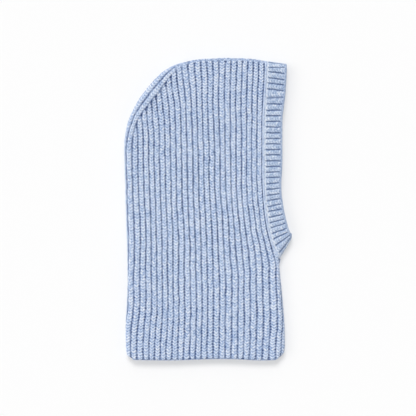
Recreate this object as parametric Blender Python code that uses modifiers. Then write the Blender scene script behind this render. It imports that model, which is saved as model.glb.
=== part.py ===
"""Rib-knit balaclava, lying folded flat along its centre line.

Two mirror-image knitted side panels are linked together up the centre back,
over the crown and down the front of the neck.  A double rib band is linked
round the face opening.  The linking yarns, the blank care label and its
stitching are separate pieces.

Frame: metres, +Z up.  The object lies on z = 0.  +Y runs from the neck hem
to the crown, +X from the back of the head to the face.  The origin is at the
bottom centre of the bounding box.
"""

import math

import bmesh
import bpy
from mathutils import Matrix, Vector
from mathutils.geometry import delaunay_2d_cdt

MM = 0.001

# ---- driving dimensions, in millimetres ------------------------------------
PANEL_T = 3.6          # thickness of one layer of rib knit
BAND_T = 4.0           # thickness of the doubled face band
TOP_Z = 14.5           # top of the upper layer of the band
PANEL_TOP_Z = 14.3     # top of the upper side panel
ROLL_A = 6.6           # how far in from a fold the layer is still curving
YARN_R = 1.2           # radius of a linking seam
SEAM_GAP = 0.3         # gap between neighbouring pieces
HALF_GAP = 0.2         # half the gap between the two panels on a fold line
LABEL_W, LABEL_L, LABEL_T = 24.0, 32.0, 0.8

MID_Z = 0.5 * PANEL_TOP_Z

# Outline of the folded balaclava, seen from above.
BACK = [(-101.0, -189.0), (-103.6, -184.5), (-104.8, -172.8), (-105.2, -152.4),
        (-103.9, -132.0), (-102.7, -108.0), (-102.4, -81.0), (-102.7, -50.4),
        (-103.7, -25.0), (-104.5, 0.6), (-105.3, 31.2), (-106.1, 56.7),
        (-106.6, 74.6), (-106.0, 88.0), (-104.2, 101.0), (-100.8, 113.6),
        (-96.2, 124.2), (-90.8, 134.3), (-84.4, 144.1)]
CROWN = [(-84.4, 144.1), (-77.0, 153.8), (-68.9, 163.2), (-60.4, 171.5),
         (-51.0, 178.6), (-41.4, 183.8), (-31.0, 187.4), (-19.0, 190.0),
         (-4.5, 191.6), (13.4, 192.5), (31.2, 192.7), (46.5, 192.2),
         (59.3, 191.1), (66.0, 190.2), (72.6, 189.3)]
BAND_TOP = [(72.6, 189.3), (77.0, 188.5), (84.0, 187.3), (92.0, 186.2),
            (100.0, 185.0)]
CHIN = [(107.0, -36.5), (106.4, -41.0), (103.5, -46.0), (99.0, -51.5),
        (95.4, -57.0), (93.2, -62.0)]
NECK = [(93.2, -62.0), (91.9, -71.0), (92.1, -81.0), (92.7, -91.2),
        (93.8, -101.4), (95.1, -116.7), (96.4, -132.0), (97.8, -152.4),
        (98.2, -172.8), (97.0, -183.6), (93.6, -189.6)]
HEM = [(-101.0, -189.0), (-92.0, -191.6), (-68.0, -192.4), (-42.0, -192.6),
       (-15.0, -191.6), (10.0, -190.9), (36.0, -191.2), (62.0, -192.6),
       (82.0, -192.4), (93.6, -189.6)]
# Line of the seam between the side panels and the face band, chin to crown.
SEAM = [(93.4, -62.9), (90.6, -60.6), (86.4, -55.6), (82.5, -47.9),
        (79.2, -35.6), (75.7, -20.2), (73.1, -2.2), (71.4, 17.0), (70.5, 36.3),
        (70.3, 74.6), (70.5, 112.8), (71.3, 132.0), (72.4, 151.1),
        (73.3, 170.2), (73.9, 190.0)]
# Free edge of the face band, chin to crown.
FREE = [(107.0, -36.0), (105.3, -30.2), (103.3, -24.9), (100.5, -14.7),
        (97.6, -1.9), (95.6, 10.8), (94.4, 21.0), (94.1, 36.3), (94.1, 74.6),
        (94.3, 112.8), (95.2, 123.0), (96.4, 133.2), (97.9, 145.0),
        (99.1, 165.0), (100.0, 185.0)]


# ---- curves ------------------------------------------------------------------
def smooth(points, steps):
    """Catmull-Rom through the points, `steps` samples a span."""
    pts = [Vector(p).to_3d() for p in points]
    ext = [2 * pts[0] - pts[1]] + pts + [2 * pts[-1] - pts[-2]]
    out = []
    for i in range(1, len(ext) - 2):
        a, b, c, d = ext[i - 1], ext[i], ext[i + 1], ext[i + 2]
        for k in range(steps):
            t = k / steps
            out.append(0.5 * (2 * b + (c - a) * t + (2 * a - 5 * b + 4 * c - d) * t ** 2
                              + (3 * b - a - 3 * c + d) * t ** 3))
    out.append(pts[-1])
    return out


def lengths(line):
    run = [0.0]
    for a, b in zip(line, line[1:]):
        run.append(run[-1] + (b - a).length)
    return run


def along(line, share):
    """The point at this share of the line's length."""
    run = lengths(line)
    want = min(max(share, 0.0), 1.0) * run[-1]
    for i in range(len(run) - 1):
        if want <= run[i + 1]:
            part = (want - run[i]) / max(run[i + 1] - run[i], 1e-9)
            return line[i].lerp(line[i + 1], part)
    return line[-1].copy()


def inset(line, by):
    """The line moved to its right-hand side."""
    out = []
    for i, p in enumerate(line):
        d = line[min(i + 1, len(line) - 1)] - line[max(i - 1, 0)]
        d.normalize()
        out.append(p + Vector((d.y, -d.x, 0.0)) * by)
    return out


BACK_L, CROWN_L = smooth(BACK, 4), smooth(CROWN, 4)
BAND_TOP_L, CHIN_L, NECK_L = smooth(BAND_TOP, 4), smooth(CHIN, 4), smooth(NECK, 4)
SEAM_L, FREE_L, HEM_L = smooth(SEAM, 6), smooth(FREE, 6), smooth(HEM, 4)
FOLDED = [BACK_L + CROWN_L[1:] + BAND_TOP_L[1:], CHIN_L + NECK_L[1:]]


def fold_distance(p):
    """Distance from the nearest folded edge of the outline."""
    best = 1e9
    for line in FOLDED:
        for a, b in zip(line, line[1:]):
            ab = b - a
            t = max(0.0, min(1.0, (p - a).dot(ab) / max(ab.length_squared, 1e-12)))
            best = min(best, (p - a - ab * t).length)
    return best


def lift(p, thick, top, start):
    """Height of a layer's mid-surface above the fold plane: a quarter ellipse
    in from the fold, then flat."""
    d = max(0.0, fold_distance(p) - thick / 2)
    c = 1.0 - min(d / ROLL_A, 1.0)
    return start + (top - thick / 2 - MID_Z - start) * math.sqrt(1.0 - c * c)


# ---- objects -------------------------------------------------------------------
def clear():
    for obj in list(bpy.data.objects):
        bpy.data.objects.remove(obj)


def material(name, colour, rough):
    mat = bpy.data.materials.new(name)
    mat.use_nodes = True
    shader = mat.node_tree.nodes["Principled BSDF"]
    shader.inputs["Base Color"].default_value = (*colour, 1.0)
    shader.inputs["Roughness"].default_value = rough
    shader.inputs["Metallic"].default_value = 0.0
    return mat


def node(name, data, mat, parent, collection):
    obj = bpy.data.objects.new(name, data)
    data.materials.append(mat)
    collection.objects.link(obj)
    obj.parent = parent
    return obj


def sheet(name, across, rows, place, thick, mat, parent, collection):
    """A grid laid over (across x rows), each vertex put where `place` says,
    thickened evenly to both sides."""
    bm = bmesh.new()
    bmesh.ops.create_grid(bm, x_segments=len(across) - 1, y_segments=len(rows) - 1, size=0.5)
    for v in bm.verts:
        i = round((v.co.x + 0.5) * (len(across) - 1))
        j = round((v.co.y + 0.5) * (len(rows) - 1))
        v.co = place(across[i], rows[j]) * MM
    bmesh.ops.recalc_face_normals(bm, faces=bm.faces[:])
    mesh = bpy.data.meshes.new(name)
    bm.to_mesh(mesh)
    bm.free()
    mesh.shade_smooth()
    obj = node(name, mesh, mat, parent, collection)
    shell = obj.modifiers.new("Thickness", "SOLIDIFY")
    shell.thickness = thick * MM
    shell.offset = 0.0
    shell.use_even_offset = True
    return obj


def yarn(name, points, radius, mat, parent, collection, closed=False):
    curve = bpy.data.curves.new(name, "CURVE")
    curve.dimensions = "3D"
    spline = curve.splines.new("POLY")
    spline.points.add(len(points) - 1)
    for slot, p in zip(spline.points, points):
        slot.co = (*(p * MM), 1.0)
    spline.use_cyclic_u = closed
    curve.bevel_depth = radius * MM
    curve.bevel_resolution = 2
    curve.use_fill_caps = not closed
    return node(name, curve, mat, parent, collection)


# ---- side panels ----------------------------------------------------------------
def crossings(line, steps, thick):
    """The line with a point added wherever its distance from the fold passes
    one of the steps."""
    out = [line[0]]
    for a, b in zip(line, line[1:]):
        da, db = fold_distance(a) - thick / 2, fold_distance(b) - thick / 2
        hits = []
        for want in steps:
            if (da - want) * (db - want) < 0 and min(abs(da - want), abs(db - want)) > 0.25:
                lo, hi = 0.0, 1.0
                for _ in range(24):
                    mid = 0.5 * (lo + hi)
                    dm = fold_distance(a.lerp(b, mid)) - thick / 2
                    if (dm - want) * (da - want) > 0:
                        lo = mid
                    else:
                        hi = mid
                hits.append(0.5 * (lo + hi))
        out += [a.lerp(b, f) for f in sorted(hits)] + [b]
    return out


def inside(p, loop):
    odd = False
    for a, b in zip(loop, loop[1:] + loop[:1]):
        if (a.y > p.y) != (b.y > p.y) and p.x < (b.x - a.x) * (p.y - a.y) / (b.y - a.y) + a.x:
            odd = not odd
    return odd


def edge_gap(p, loop):
    best = 1e9
    for a, b in zip(loop, loop[1:] + loop[:1]):
        ab = b - a
        t = max(0.0, min(1.0, (p - a).dot(ab) / max(ab.length_squared, 1e-12)))
        best = min(best, (p - a - ab * t).length)
    return best


def sampled(line, step):
    total = lengths(line)[-1]
    n = max(2, round(total / step))
    return [along(line, k / n) for k in range(n + 1)]


def panel_net():
    """Flat triangulation of one side panel: its cut edges, lines that follow
    the folds while the layer is curving, and a sparse flat middle."""
    top = inset(BACK_L + CROWN_L[1:], PANEL_T / 2)
    neck = [p for p in inset(NECK_L, PANEL_T / 2) if p.y < NECK_START]
    seam = inset(SEAM_L, -YARN_R - SEAM_GAP)
    hem = [p for p in HEM_L if p.y < -180.0]
    seam = [p for p in seam if fold_distance(p) > PANEL_T / 2 + 0.4]
    seam = [p for p in seam if p.y < top[-1].y - 1.0]
    fold_back = sampled(top, FOLD_STEP)
    fold_neck = sampled(neck, FOLD_STEP)
    hem_mid = [p for p in sampled(hem, 24.0)
               if fold_back[0].x + 8.0 < p.x < fold_neck[-1].x - 8.0]
    cut_hem = crossings([fold_neck[-1]] + list(reversed(hem_mid)) + [fold_back[0]],
                        ROLL_STEPS, PANEL_T)
    cut_seam = crossings([fold_back[-1]] + list(reversed(sampled(seam, 6.0))) + [fold_neck[0]],
                         ROLL_STEPS, PANEL_T)
    loop = fold_back + cut_seam[1:-1] + fold_neck + cut_hem[1:-1]
    verts, edges = list(loop), []
    for step in ROLL_STEPS[1:] + [ROLL_A + 2.5]:
        for source, spacing in ((inset(top, step), FOLD_STEP), (inset(neck, step), FOLD_STEP)):
            last = None
            for p in sampled(source, spacing):
                if inside(p, loop) and edge_gap(p, loop) > 0.8 * min(step, 3.0):
                    verts.append(p)
                    if last is not None:
                        edges.append((last, len(verts) - 1))
                    last = len(verts) - 1
                else:
                    last = None
    x = -72.0
    while x < 90.0:
        y = -160.0
        while y < 180.0:
            p = Vector((x, y, 0.0))
            if inside(p, loop) and edge_gap(p, loop) > 17.0:
                verts.append(p)
            y += 40.0
        x += 36.0
    return verts, edges, list(range(len(loop)))


def side_panel(name, side, mat, parent, collection):
    verts, edges, loop = PANEL_NET
    out = delaunay_2d_cdt([v.to_2d() for v in verts], edges, [loop], 1, 1e-4)
    bm = bmesh.new()
    made = []
    for p in out[0]:
        p = Vector((p.x, p.y, 0.0))
        z = MID_Z + side * lift(p, PANEL_T, PANEL_TOP_Z, RIM_H)
        made.append(bm.verts.new(Vector((p.x, p.y, z)) * MM))
    for face in out[2]:
        bm.faces.new([made[i] for i in face])
    # The last strip runs straight down to the fold line.
    rim = [e for e in bm.edges if e.is_boundary
           and all(fold_distance(FLAT @ v.co / MM) < PANEL_T / 2 + 0.2 for v in e.verts)]
    down = bmesh.ops.extrude_edge_only(bm, edges=rim)["geom"]
    for v in [g for g in down if isinstance(g, bmesh.types.BMVert)]:
        v.co.z = (MID_Z + side * HALF_GAP) * MM
    bmesh.ops.recalc_face_normals(bm, faces=bm.faces[:])
    mesh = bpy.data.meshes.new(name)
    bm.to_mesh(mesh)
    bm.free()
    mesh.shade_smooth()
    obj = node(name, mesh, mat, parent, collection)
    shell = obj.modifiers.new("Thickness", "SOLIDIFY")
    shell.thickness = PANEL_T * MM
    shell.offset = 0.0
    return obj


FOLD_STEP = 9.0
RIM_H = 1.0            # height over the fold plane where a panel's curve starts
NECK_START = -65.4     # where the neck fold of the panels starts, under the band
FLAT = Matrix.Diagonal((1.0, 1.0, 0.0))
ROLL_STEPS = [ROLL_A * (1 - math.cos(math.radians(a))) for a in (0, 30, 60, 90)]


# ---- face band -------------------------------------------------------------------
def band_flat(w, s):
    """w runs from the seam edge to the free edge, s from chin to crown."""
    back = BAND_BACK
    a, b = along(back, s), along(BAND_FREE, s)
    return a.lerp(b, w)


_top = inset(BAND_TOP_L, BAND_T / 2)
_seam = inset(SEAM_L, YARN_R + SEAM_GAP)
# The band's ends lie on the fold lines at the chin and over the forehead.
CHIN_IN, CHIN_OUT = Vector((92.2, -58.4, 0.0)), Vector((105.0, -38.6, 0.0))
TOP_IN, TOP_OUT = Vector((75.4, _top[2].y, 0.0)), _top[-1]
BAND_BACK = [CHIN_IN] + [p for p in _seam if -57.2 < p.y < TOP_IN.y - 2.0] + [TOP_IN]
BAND_FREE = [CHIN_OUT] + [p for p in FREE_L if -35.0 < p.y < TOP_OUT.y - 2.0] + [TOP_OUT]
BAND_S = ([0.0, 0.006, 0.016, 0.032] + [0.032 + 0.94 * k / 24 for k in range(1, 24)]
          + [1 - 0.0275, 1 - 0.0138, 1 - 0.0037, 1.0])


def band_place(w, s):
    """s from -1 (chin, lower layer) through 0 (forehead fold) to 1 (chin, upper
    layer)."""
    side = -1.0 if s < 0 else 1.0
    p = band_flat(w, 1.0 - abs(s))
    start = 0.35 if abs(s) > 0.5 else 0.0
    h = lift(p, BAND_T, TOP_Z, start)
    low_shift = (BAND_T - PANEL_T) / 2
    z = MID_Z + side * h
    if side < 0:
        z = max(z, BAND_T / 2)
    return Vector((p.x, p.y, z))


# ---- linking seams ------------------------------------------------------------------
def inner_seam(line, step, first, last):
    """A yarn inside a fold, just clear of both panels."""
    deep = inset(line, PANEL_T + SEAM_GAP + YARN_R + 0.15)
    total = lengths(deep)[-1]
    a, b = first / total, 1 - last / total
    n = max(2, round((total - first - last) / step))
    return [along(deep, a + (b - a) * k / n) + Vector((0, 0, MID_Z)) for k in range(n + 1)]


def band_seam_path():
    """Round the face opening: up the upper layer, over the forehead fold, down
    the lower layer and back under the chin."""
    line = [p for p in SEAM_L]
    inside = [along(line, k / 90) for k in range(91)]
    limit_in = PANEL_T / 2
    keep = [p for p in inside if fold_distance(p) > limit_in + 0.05]
    first, last = keep[0], keep[-1]
    keep = [along(keep, k / 34) for k in range(35)]
    fine_chin = [keep[0].lerp(keep[1], f) for f in (0.12, 0.3, 0.6)]
    fine_top = [keep[-2].lerp(keep[-1], f) for f in (0.4, 0.7, 0.88)]
    flat = [keep[0]] + fine_chin + keep[1:-1] + fine_top + [keep[-1]]
    upper = [Vector((p.x, p.y, MID_Z + lift(p, PANEL_T, PANEL_TOP_Z, 0.0))) for p in flat]
    lower = [Vector((p.x, p.y, 2 * MID_Z - p.z)) for p in reversed(upper)]
    if (upper[-1] - lower[0]).length < 1.0:
        lower = lower[1:]
    if (upper[0] - lower[-1]).length < 1.0:
        lower = lower[:-1]
    return upper + lower


# ---- care label ------------------------------------------------------------------------
def care_label(mat, parent, collection):
    """A blank woven tab on the lower panel, held at the centre back seam."""
    bm = bmesh.new()
    bmesh.ops.create_cube(bm, size=1.0)
    for v in bm.verts:
        v.co = Vector((v.co.x * LABEL_W, v.co.y * LABEL_L, v.co.z * LABEL_T)) * MM
    mesh = bpy.data.meshes.new("care_label")
    bm.to_mesh(mesh)
    bm.free()
    obj = node("care_label", mesh, mat, parent, collection)
    obj.location = Vector(LABEL_AT) * MM
    soft = obj.modifiers.new("Edges", "BEVEL")
    soft.width = 0.25 * MM
    soft.segments = 1
    return obj


LABEL_AT = (-82.0, -96.0, PANEL_T + SEAM_GAP + LABEL_T / 2)


def label_stitch(mat, parent, collection):
    """One line of overlock thread along the label's held edge."""
    x = LABEL_AT[0] - LABEL_W / 2 + 2.5
    z = LABEL_AT[2] + LABEL_T / 2 + SEAM_GAP + 0.4
    n = 16
    pts = [Vector((x + (0.5 if k % 2 else -0.5),
                   LABEL_AT[1] + LABEL_L * (0.46 * (2 * k / n - 1)), z)) for k in range(n + 1)]
    return yarn("label_stitching", pts, 0.4, mat, parent, collection)


PANEL_NET = panel_net()


def main():
    clear()
    collection = bpy.data.collections.new("balaclava")
    bpy.context.scene.collection.children.link(collection)
    root = bpy.data.objects.new("balaclava_frame", None)
    collection.objects.link(root)

    knit = material("rib_knit", (0.41, 0.50, 0.67), 0.92)
    band = material("band_knit", (0.38, 0.47, 0.63), 0.92)
    link = material("linking_yarn", (0.45, 0.54, 0.71), 0.9)
    tape = material("label_tape", (0.82, 0.83, 0.85), 0.6)

    side_panel("right_side_panel", 1.0, knit, root, collection)
    side_panel("left_side_panel", -1.0, knit, root, collection)

    s_line = sorted({round(1.0 - s, 5) for s in BAND_S})
    rows = [-s for s in reversed(s_line)] + s_line[1:]
    sheet("face_band", [0.0, 0.33, 0.67, 1.0], rows, band_place, BAND_T, band, root, collection)

    yarn("face_band_seam", band_seam_path(), YARN_R, link, root, collection, closed=True)
    yarn("centre_back_seam", inner_seam(BACK_L, 10.0, 9.0, 0.6), YARN_R, link, root, collection)
    yarn("crown_seam", inner_seam(CROWN_L, 9.0, 0.6, 6.0), YARN_R, link, root, collection)
    yarn("front_neck_seam", inner_seam(NECK_L, 8.0, 7.0, 9.0), YARN_R, link, root, collection)

    inner = [CHIN_OUT.lerp(CHIN_IN, f) for f in (0.12, 0.3, 0.5, 0.7, 0.84)]
    away = (CHIN_OUT - CHIN_IN).normalized()
    away = Vector((-away.y, away.x, 0.0)) * (BAND_T / 2 + SEAM_GAP + 0.8 + 0.3)
    yarn("band_end_seam", [p + away + Vector((0, 0, MID_Z)) for p in inner], 0.8,
         link, root, collection)

    care_label(tape, root, collection)
    label_stitch(tape, root, collection)


main()
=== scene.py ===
"""Looks for the rib-knit balaclava: real knitted relief on both side panels and
on the face band, linked seams, a blank woven label, and a soft pale studio.

All plan dimensions below are millimetres in the row frame; meshes are made in
metres.  A rib coordinate u has a groove at every integer, and a course
coordinate v counts rows of stitches.
"""

import math

import bpy
import numpy as np
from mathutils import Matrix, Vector


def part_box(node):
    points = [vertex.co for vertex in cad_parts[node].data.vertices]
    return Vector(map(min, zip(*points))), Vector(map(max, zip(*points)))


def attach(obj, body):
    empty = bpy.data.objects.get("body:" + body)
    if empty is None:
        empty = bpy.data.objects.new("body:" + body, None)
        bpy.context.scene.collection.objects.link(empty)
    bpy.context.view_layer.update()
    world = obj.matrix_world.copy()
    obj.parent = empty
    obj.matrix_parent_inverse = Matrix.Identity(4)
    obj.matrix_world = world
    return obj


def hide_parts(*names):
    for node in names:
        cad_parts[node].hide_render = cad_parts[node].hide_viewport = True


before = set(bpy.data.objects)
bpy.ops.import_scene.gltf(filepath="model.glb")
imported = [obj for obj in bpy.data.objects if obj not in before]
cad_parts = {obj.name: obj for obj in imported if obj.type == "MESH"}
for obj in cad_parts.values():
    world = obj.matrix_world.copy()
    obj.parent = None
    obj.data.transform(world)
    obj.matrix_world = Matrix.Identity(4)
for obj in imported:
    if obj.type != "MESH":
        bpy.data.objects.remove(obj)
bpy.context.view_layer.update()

MM = 0.001
MID = 7.15                 # height of the fold plane
TOP = 14.3                 # top of the upper side panel
PANEL_T = 3.6
BAND_T, BAND_TOP = 4.0, 14.5
ROLL = 8.4                 # how far in from a fold the outer surface is curving
COURSE = 3.66              # height of a row of stitches
PITCH = 7.25               # width of a rib

# ---------------------------------------------------------------------------
# outline and guide lines
# ---------------------------------------------------------------------------
FOLD_BACK = [(-100.3, -189.9), (-101.6, -188.2), (-103.0, -185.4), (-104.1, -180.6),
             (-104.8, -172.8), (-105.2, -152.4), (-103.9, -132.0), (-102.7, -108.0),
             (-102.4, -81.0), (-102.7, -50.4), (-103.7, -25.0), (-104.5, 0.6),
             (-105.3, 31.2), (-106.1, 56.7), (-106.5, 74.6), (-105.9, 88.0),
             (-104.2, 101.0), (-100.8, 113.6), (-96.2, 124.2), (-90.8, 134.3),
             (-84.4, 144.1), (-77.0, 153.8), (-68.9, 163.2), (-60.4, 171.5),
             (-51.0, 178.6), (-41.4, 183.8), (-31.0, 187.4), (-19.0, 190.0),
             (-4.5, 191.6), (13.4, 192.5), (31.2, 192.7), (46.5, 192.2),
             (59.3, 191.1), (66.0, 190.2), (72.6, 189.3), (77.0, 188.5)]
FOLD_BAND = [(70.0, 189.6), (77.0, 188.5), (84.0, 187.4), (92.0, 186.3), (102.0, 184.9)]
FOLD_CHIN = [(107.9, -34.8), (106.6, -39.6), (103.4, -45.8), (99.0, -52.0),
             (95.6, -57.4), (93.4, -62.2)]
FOLD_NECK = [(93.4, -62.2), (92.1, -66.0), (91.6, -71.0), (91.9, -81.0), (92.7, -91.2),
             (93.8, -101.4), (95.1, -116.7), (96.4, -132.0), (97.8, -152.4),
             (98.2, -172.8), (97.7, -180.0), (96.4, -184.6), (94.2, -188.6)]
GROOVE_B = [(-117.5, 195.0), (-115.1, 174.0), (-113.7, 163.8), (-110.8, 151.1),
            (-106.0, 132.0), (-103.9, 112.8), (-103.7, 93.7), (-104.3, 74.6),
            (-103.9, 55.5), (-103.7, 36.3), (-102.9, 17.2), (-102.6, -1.9),
            (-101.9, -21.0), (-101.2, -40.2), (-101.2, -59.3), (-101.6, -78.4),
            (-101.7, -97.5), (-101.5, -116.7), (-102.9, -135.8), (-106.0, -154.9),
            (-107.0, -174.0), (-107.6, -196.0)]
GROOVE_F = [(71.0, 195.0), (71.3, 174.0), (71.2, 163.8), (70.5, 151.1), (69.2, 132.0),
            (68.4, 112.8), (68.1, 93.7), (68.1, 74.6), (68.3, 55.5), (68.6, 36.3),
            (69.5, 17.2), (70.9, -1.9), (73.6, -21.0), (77.7, -40.2), (83.2, -59.3),
            (87.3, -78.4), (88.4, -97.5), (89.2, -116.7), (89.5, -135.8),
            (89.1, -154.9), (88.2, -174.0), (87.2, -196.0)]
SPINE_1 = [(-101.2, -40.2), (-102.9, 17.2), (-103.9, 55.5), (-104.3, 74.6),
           (-103.1, 87.3), (-101.0, 98.2), (-96.8, 110.9), (-92.1, 121.8),
           (-86.2, 130.7), (-81.3, 137.1), (-71.1, 150.8), (-60.4, 163.5),
           (-50.4, 174.0), (-40.2, 181.7), (-32.0, 186.2)]
SPINE_2 = [(-94.3, -40.2), (-95.7, 17.2), (-96.6, 55.5), (-96.8, 74.6), (-95.3, 89.9),
           (-92.9, 102.6), (-89.6, 111.6), (-84.4, 120.5), (-77.9, 129.0),
           (-71.6, 136.9), (-62.3, 148.5), (-54.0, 160.0), (-45.3, 170.6),
           (-35.6, 179.0), (-26.0, 183.9), (-14.0, 186.4), (-4.5, 187.3),
           (13.4, 188.1), (31.2, 188.3), (46.5, 187.8), (59.3, 186.7), (66.0, 185.8),
           (74.0, 184.7), (80.0, 183.8)]
SEAM = [(93.6, -63.1), (90.6, -60.6), (86.4, -55.6), (82.5, -47.9), (79.2, -35.6),
        (75.7, -20.2), (73.1, -2.2), (71.4, 17.0), (70.5, 36.3), (70.3, 74.6),
        (70.5, 112.8), (71.3, 132.0), (72.4, 151.1), (73.3, 170.2), (73.9, 190.0)]
FREE = [(107.3, -36.4), (105.4, -30.2), (103.3, -24.9), (100.5, -14.7), (97.5, -1.9),
        (95.5, 10.8), (94.3, 21.0), (94.0, 36.3), (94.0, 74.6), (94.1, 112.8),
        (95.1, 123.0), (96.3, 133.2), (97.8, 145.0), (99.1, 165.0), (100.2, 188.0)]
HEM = [(-100.3, -189.9), (-97.5, -191.5), (-92.0, -192.2), (-68.0, -192.6),
       (-42.0, -192.7), (-15.0, -191.8), (10.0, -191.0), (36.0, -191.3),
       (62.0, -192.7), (80.0, -192.6), (88.0, -191.6), (94.2, -188.6)]


def spline(points, per=10):
    """Catmull-Rom through the points."""
    p = np.array(points, float)
    p = np.vstack([2 * p[0] - p[1], p, 2 * p[-1] - p[-2]])
    t = np.arange(per)[:, None] / per
    out = []
    for i in range(1, len(p) - 2):
        a, b, c, d = p[i - 1], p[i], p[i + 1], p[i + 2]
        out.append(0.5 * (2 * b + (c - a) * t + (2 * a - 5 * b + 4 * c - d) * t ** 2
                          + (3 * b - a - 3 * c + d) * t ** 3))
    out.append(p[-2][None])
    return np.vstack(out)


def run_of(line):
    return np.concatenate([[0], np.cumsum(np.linalg.norm(np.diff(line, axis=0), axis=1))])


def along(line, s):
    """Points at these lengths along a line."""
    run = run_of(line)
    return np.stack([np.interp(s, run, line[:, k]) for k in range(line.shape[1])], -1)


def x_at(line, y):
    order = np.argsort(line[:, 1])
    return np.interp(y, line[order, 1], line[order, 0])


def offset(line, by):
    """The line moved to its right by this much."""
    d = np.gradient(line, axis=0)
    d /= np.linalg.norm(d, axis=1)[:, None]
    return line + np.stack([d[:, 1], -d[:, 0]], -1) * by


def distance(points, line):
    """Distance of each point from a line, and the length along it of the
    nearest place."""
    a, b = line[:-1], line[1:]
    ab = b - a
    n2 = (ab ** 2).sum(1)
    run = run_of(line)
    best = np.full(len(points), 1e9)
    where = np.zeros(len(points))
    for i in range(len(a)):
        t = np.clip(((points - a[i]) @ ab[i]) / n2[i], 0, 1)
        d = np.hypot(*(points - a[i] - t[:, None] * ab[i]).T)
        near = d < best
        best[near] = d[near]
        where[near] = run[i] + t[near] * math.sqrt(n2[i])
    return best, where


BACK_L, BANDFOLD_L = spline(FOLD_BACK), spline(FOLD_BAND)
CHIN_L, NECK_L = spline(FOLD_CHIN), spline(FOLD_NECK)
GB_L, GF_L = spline(GROOVE_B), spline(GROOVE_F)
SP1_L, SP2_L = spline(SPINE_1), spline(SPINE_2)
SEAM_L, FREE_L, HEM_L = spline(SEAM), spline(FREE), spline(HEM)
PANEL_EDGE_L = offset(SEAM_L, -1.45)
BAND_EDGE_L = offset(SEAM_L, 1.45)


# Where some of the panel's grooves stand, at these heights from hem to crown.
RIB_Y = [-190, -170, -150, -130, -110, -90, -70, -50, -30, -10, 10, 30, 50, 70, 90, 110,
         130, 150, 165, 178]
RIB_LINES = {
    1: [-103.5, -105.1, -104.9, -102.8, -101.9, -102.0, -101.5, -101.2, -101.4, -102.5,
        -102.8, -103.5, -104.0, -104.4, -104.2, -105.7, -107.3, -110.1, -112.0, -113.8],
    2: [-98.0, -98.5, -97.5, -94.9, -94.3, -94.5, -93.6, -93.4, -93.5, -94.0, -95.1, -95.7,
        -96.1, -96.5, -96.2, -97.8, -99.4, -102.2, -104.1, -105.8],
    4: [-82.1, -82.1, -80.7, -79.0, -78.4, -78.9, -78.9, -78.8, -79.0, -79.5, -80.4, -81.3,
        -81.9, -82.1, -82.2, -83.7, -85.3, -88.1, -90.0, -91.7],
    6: [-67.9, -67.6, -66.1, -64.8, -64.5, -64.8, -65.1, -65.2, -65.8, -66.1, -66.8, -67.3,
        -68.1, -68.8, -68.4, -69.9, -71.4, -74.3, -76.1, -77.9],
    8: [-53.3, -52.9, -51.5, -50.8, -50.7, -51.3, -51.5, -51.3, -51.3, -52.2, -53.3, -53.7,
        -53.9, -54.7, -54.6, -55.4, -57.4, -60.2, -62.1, -63.8],
    10: [-38.5, -38.1, -37.2, -36.8, -37.0, -37.4, -37.6, -37.2, -37.4, -38.6, -39.9, -40.2,
         -40.2, -40.5, -40.9, -41.4, -42.5, -45.1, -47.0, -48.7],
    12: [-23.4, -22.7, -22.5, -22.0, -22.1, -22.5, -22.9, -22.6, -23.4, -24.3, -25.1, -26.0,
         -26.3, -26.6, -27.0, -27.5, -28.0, -29.7, -31.8, -33.5],
    14: [-8.7, -8.1, -7.8, -7.5, -7.5, -7.9, -8.3, -8.6, -9.1, -10.0, -11.3, -11.5, -11.8,
         -12.2, -12.9, -13.4, -14.2, -14.8, -15.9, -16.7],
    16: [6.5, 6.5, 6.9, 7.0, 7.4, 6.9, 6.5, 5.8, 5.0, 4.0, 2.8, 2.0, 1.4, 1.8, 1.0, 0.4,
         -0.3, -0.5, -0.6, -1.3],
    18: [21.4, 21.7, 22.1, 22.4, 22.6, 22.6, 21.3, 20.3, 19.5, 18.5, 16.8, 15.7, 15.5, 15.5,
         15.0, 14.4, 13.6, 13.7, 13.9, 14.1],
    20: [37.0, 37.8, 38.1, 38.3, 38.2, 38.7, 37.2, 35.4, 34.0, 32.3, 30.6, 29.4, 29.2, 28.8,
         28.7, 28.6, 28.3, 28.3, 28.7, 29.3],
    22: [52.5, 53.5, 53.8, 53.8, 53.6, 53.5, 52.9, 50.9, 48.0, 46.0, 43.7, 42.6, 42.6, 42.6,
         42.8, 42.7, 42.0, 42.5, 43.1, 43.5],
    24: [69.0, 69.4, 70.3, 70.3, 69.9, 69.4, 69.0, 66.4, 62.1, 59.6, 57.2, 56.0, 55.6, 55.6,
         55.6, 56.0, 55.8, 56.4, 57.1, 57.6],
    26: [85.8, 86.5, 88.0, 88.3, 87.5, 86.7, 86.3, 80.8, 75.5, 72.2, 70.1, 68.8, 68.5, 68.6,
         68.7, 68.8, 69.2, 70.4, 71.3, 71.3],
}


def cubic_at(knots, values, at):
    """Catmull-Rom through the values (along their first axis) at uneven knots."""
    k, v = np.asarray(knots, float), np.asarray(values, float)
    m = np.gradient(v, k, axis=0)
    i = np.clip(np.searchsorted(k, at, side="right") - 1, 0, len(k) - 2)
    h = k[i + 1] - k[i]
    t = (at - k[i]) / h
    shape = (-1,) + (1,) * (v.ndim - 1)
    t, h = t.reshape(shape), h.reshape(shape)
    inside = np.clip(t, 0, 1)
    c = ((1 + 2 * inside) * (1 - inside) ** 2 * v[i] + inside * (1 - inside) ** 2 * h * m[i]
         + inside ** 2 * (3 - 2 * inside) * v[i + 1] + inside ** 2 * (inside - 1) * h * m[i + 1])
    past = (t - inside) * h
    return c + past * np.where(past > 0, m[i + 1], m[i])


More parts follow.
